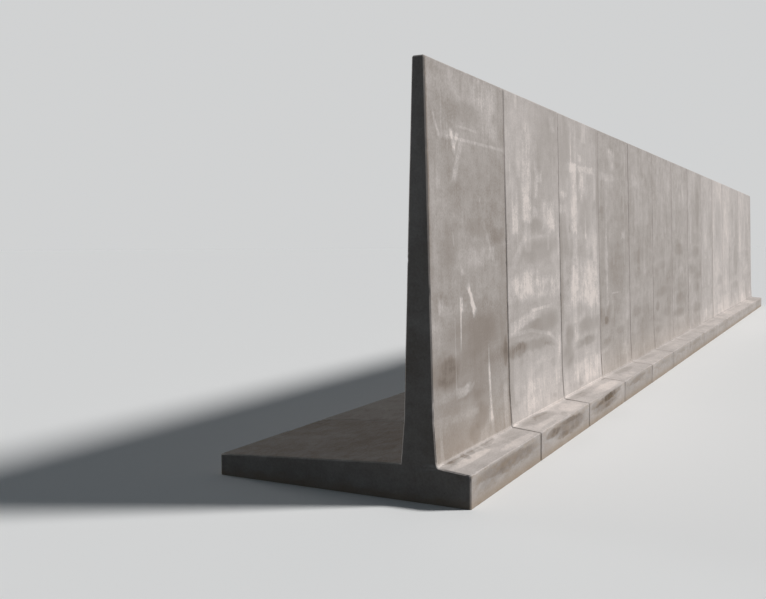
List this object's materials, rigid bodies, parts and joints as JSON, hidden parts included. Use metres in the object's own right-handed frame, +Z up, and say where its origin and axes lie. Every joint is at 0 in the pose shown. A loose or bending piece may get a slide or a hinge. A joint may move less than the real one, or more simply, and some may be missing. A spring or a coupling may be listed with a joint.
{
  "type": "precast concrete retaining wall",
  "caption": "Straight row of precast concrete inverted-T retaining wall elements, with a tapered stem, a short toe, a long heel and sealed butt joints.",
  "frame": {"origin": "on the ground, at the centre of the row's footprint", "axes": "+X along the row, from the end that the picture shows nearest to the far one; -Y is the exposed face with the toe, +Y the heel and the backfill; +Z up"},
  "size_m": [27.99, 2.75, 4],
  "materials": {
    "concrete": "fair-faced from a steel mould, with light streaks and blotches",
    "mortar": "trowelled",
    "joint_foam": "matt closed-cell foam"
  },
  "bodies": {
    "root": {"wall_element_01": "concrete", "wall_element_02": "concrete", "wall_element_03": "concrete", "wall_element_04": "concrete", "wall_element_05": "concrete", "wall_element_06": "concrete", "wall_element_07": "concrete", "wall_element_08": "concrete", "wall_element_09": "concrete", "wall_element_10": "concrete", "wall_element_11": "concrete", "wall_element_12": "concrete", "wall_element_13": "concrete", "wall_element_14": "concrete", "pocket_mortar_01": "mortar", "pocket_mortar_02": "mortar", "pocket_mortar_03": "mortar", "pocket_mortar_04": "mortar", "pocket_mortar_05": "mortar", "pocket_mortar_06": "mortar", "pocket_mortar_07": "mortar", "pocket_mortar_08": "mortar", "pocket_mortar_09": "mortar", "pocket_mortar_10": "mortar", "pocket_mortar_11": "mortar", "pocket_mortar_12": "mortar", "pocket_mortar_13": "mortar", "pocket_mortar_14": "mortar", "joint_seal_01": "joint_foam", "joint_seal_02": "joint_foam", "joint_seal_03": "joint_foam", "joint_seal_04": "joint_foam", "joint_seal_05": "joint_foam", "joint_seal_06": "joint_foam", "joint_seal_07": "joint_foam", "joint_seal_08": "joint_foam", "joint_seal_09": "joint_foam", "joint_seal_10": "joint_foam", "joint_seal_11": "joint_foam", "joint_seal_12": "joint_foam", "joint_seal_13": "joint_foam"}
  },
  "joints": []
}
